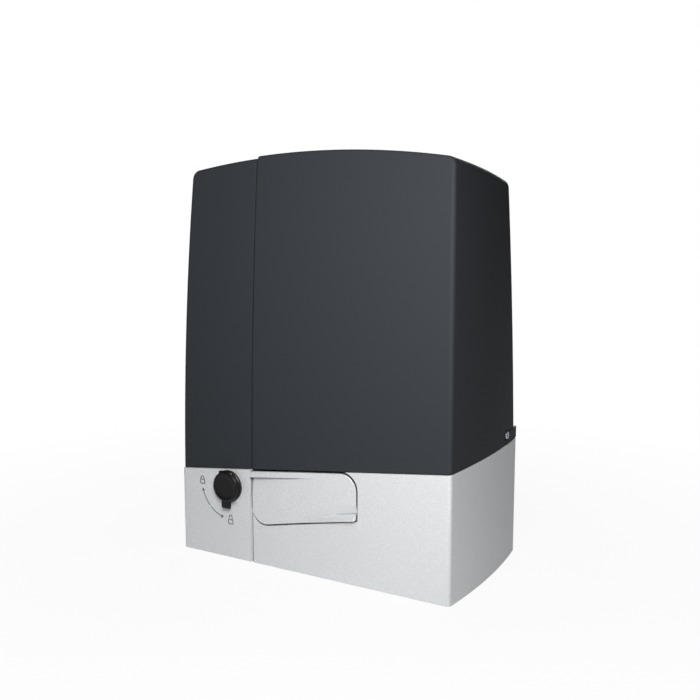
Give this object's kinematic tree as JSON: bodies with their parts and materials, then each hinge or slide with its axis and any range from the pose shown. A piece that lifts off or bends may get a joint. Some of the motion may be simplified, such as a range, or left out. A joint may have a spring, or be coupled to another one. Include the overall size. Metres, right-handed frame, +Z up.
{
  "type": "sliding gate operator",
  "caption": "Electric operator for a sliding gate: cast base with gear case, worm drive, toothed pinion at the back, front release lever with lock, and lift-off cover.",
  "frame": {"origin": "centre of the four floor slots on the underside of the base", "axes": "+X to the right seen from the release side, +Y from that front to the pinion and the gate, +Z up"},
  "size_m": [0.268, 0.1999, 0.3496],
  "materials": {
    "cast_paint": "fine-grained silver-grey paint on a die casting",
    "cover_plastic": "anthracite moulded plastic, fine matt grain",
    "black_plastic": "black plastic, satin",
    "zinc_steel": "zinc-plated steel",
    "bright_steel": "turned and ground steel",
    "bearing_steel": "ground bearing steel",
    "bronze": "cast bronze",
    "aluminium": "machined aluminium",
    "cast_aluminium": "bare gravity-cast aluminium",
    "motor_paint": "dark paint on the motor can",
    "laminations": "stacked steel sheet",
    "copper": "enamelled copper winding",
    "grey_plastic": "grey moulded plastic",
    "board_green": "solder-masked circuit board",
    "terminal_green": "green terminal plastic",
    "relay_blue": "blue relay case",
    "white_plastic": "white capacitor case",
    "rubber": "black rubber",
    "winding_tape": "yellow winding tape"
  },
  "bodies": {
    "base": {"base_housing": "cast_paint", "lever_pocket": "cast_aluminium", "gear_case": "cast_aluminium", "pocket_screws": "zinc_steel", "case_bolts": "zinc_steel", "lock_housing": "black_plastic", "bearing_flange": "aluminium", "gearcase_lid": "aluminium", "motor_housing": "motor_paint", "motor_end_cap": "aluminium", "board_carrier": "grey_plastic", "transformer_core": "laminations", "transformer_coil": "winding_tape", "transformer_bracket": "zinc_steel", "capacitor_clip": "black_plastic", "limit_switch_box": "black_plastic", "lock_cap_pin": "bright_steel", "front_bearing": "bearing_steel", "rear_bearing": "bearing_steel", "output_seal": "rubber", "worm_bearing_low": "bearing_steel", "worm_bearing_high": "bearing_steel", "motor_bearing": "bearing_steel", "stator_core": "laminations", "stator_windings": "copper", "flange_screws": "zinc_steel", "lid_screws": "zinc_steel", "motor_bolts": "zinc_steel", "levelling_screws": "zinc_steel", "board_screws": "zinc_steel", "transformer_screws": "zinc_steel", "capacitor": "white_plastic", "cable_grommet": "rubber", "control_board": "board_green", "terminal_blocks": "terminal_green", "board_relays": "relay_blue", "fuse_holder": "black_plastic", "limit_pivot_pin": "bright_steel"},
    "cover": {"cover": "cover_plastic", "cover_screws": "zinc_steel"},
    "release_lever": {"release_lever": "cast_paint", "hinge_pin": "bright_steel", "release_cam": "zinc_steel"},
    "release_rod": {"release_rod": "bright_steel", "selector_fork": "zinc_steel"},
    "clutch": {"clutch_ring": "bright_steel"},
    "lock_cap": {"lock_cap": "black_plastic"},
    "lock_cylinder": {"lock_cylinder": "bright_steel", "lock_cam": "zinc_steel"},
    "output": {"output_shaft": "bright_steel", "worm_wheel": "bronze", "pinion": "zinc_steel", "pinion_washer": "zinc_steel", "pinion_screw": "zinc_steel"},
    "rotor": {"worm_shaft": "bright_steel", "rotor_core": "laminations"},
    "limit_lever": {"limit_lever": "bright_steel"}
  },
  "joints": [
    {"name": "cover_lift", "type": "slide", "parent": "base", "child": "cover", "axis": [0, 0, 1], "range_m": [0, 0.29]},
    {"name": "release_lever_hinge", "type": "hinge", "parent": "base", "child": "release_lever", "pos_m": [-0.022, -0.068, 0.06], "axis": [0, 0, -1], "range_deg": [0, 90]},
    {"name": "release_rod_slide", "type": "slide", "parent": "base", "child": "release_rod", "axis": [0, 1, 0], "range_m": [0, 0.0061]},
    {"name": "clutch_slide", "type": "slide", "parent": "output", "child": "clutch", "axis": [0, 1, 0], "range_m": [0, 0.0061]},
    {"name": "lock_cap_hinge", "type": "hinge", "parent": "base", "child": "lock_cap", "pos_m": [-0.0804, -0.0788, 0.0768], "axis": [-1, 0, 0], "range_deg": [0, 110]},
    {"name": "lock_turn", "type": "hinge", "parent": "base", "child": "lock_cylinder", "pos_m": [-0.0804, -0.06, 0.0645], "axis": [0, -1, 0], "range_deg": [0, 90]},
    {"name": "output_spin", "type": "hinge", "parent": "base", "child": "output", "pos_m": [0, 0.04, 0.07], "axis": [0, 1, 0], "continuous": true},
    {"name": "rotor_spin", "type": "hinge", "parent": "base", "child": "rotor", "pos_m": [0.055, 0.005, 0.15], "axis": [0, 0, 1], "continuous": true},
    {"name": "limit_lever_hinge", "type": "hinge", "parent": "base", "child": "limit_lever", "pos_m": [0, 0.081, 0.136], "axis": [0, 1, 0], "range_deg": [-35, 35], "stiffness_Nm_per_rad": 0.3}
  ],
  "couplings": [
    {"joint": "release_rod_slide", "follows": "release_lever_hinge", "m_per_rad": 0.0038197},
    {"joint": "clutch_slide", "follows": "release_lever_hinge", "m_per_rad": 0.0038197},
    {"joint": "rotor_spin", "follows": "output_spin", "ratio": 30}
  ]
}
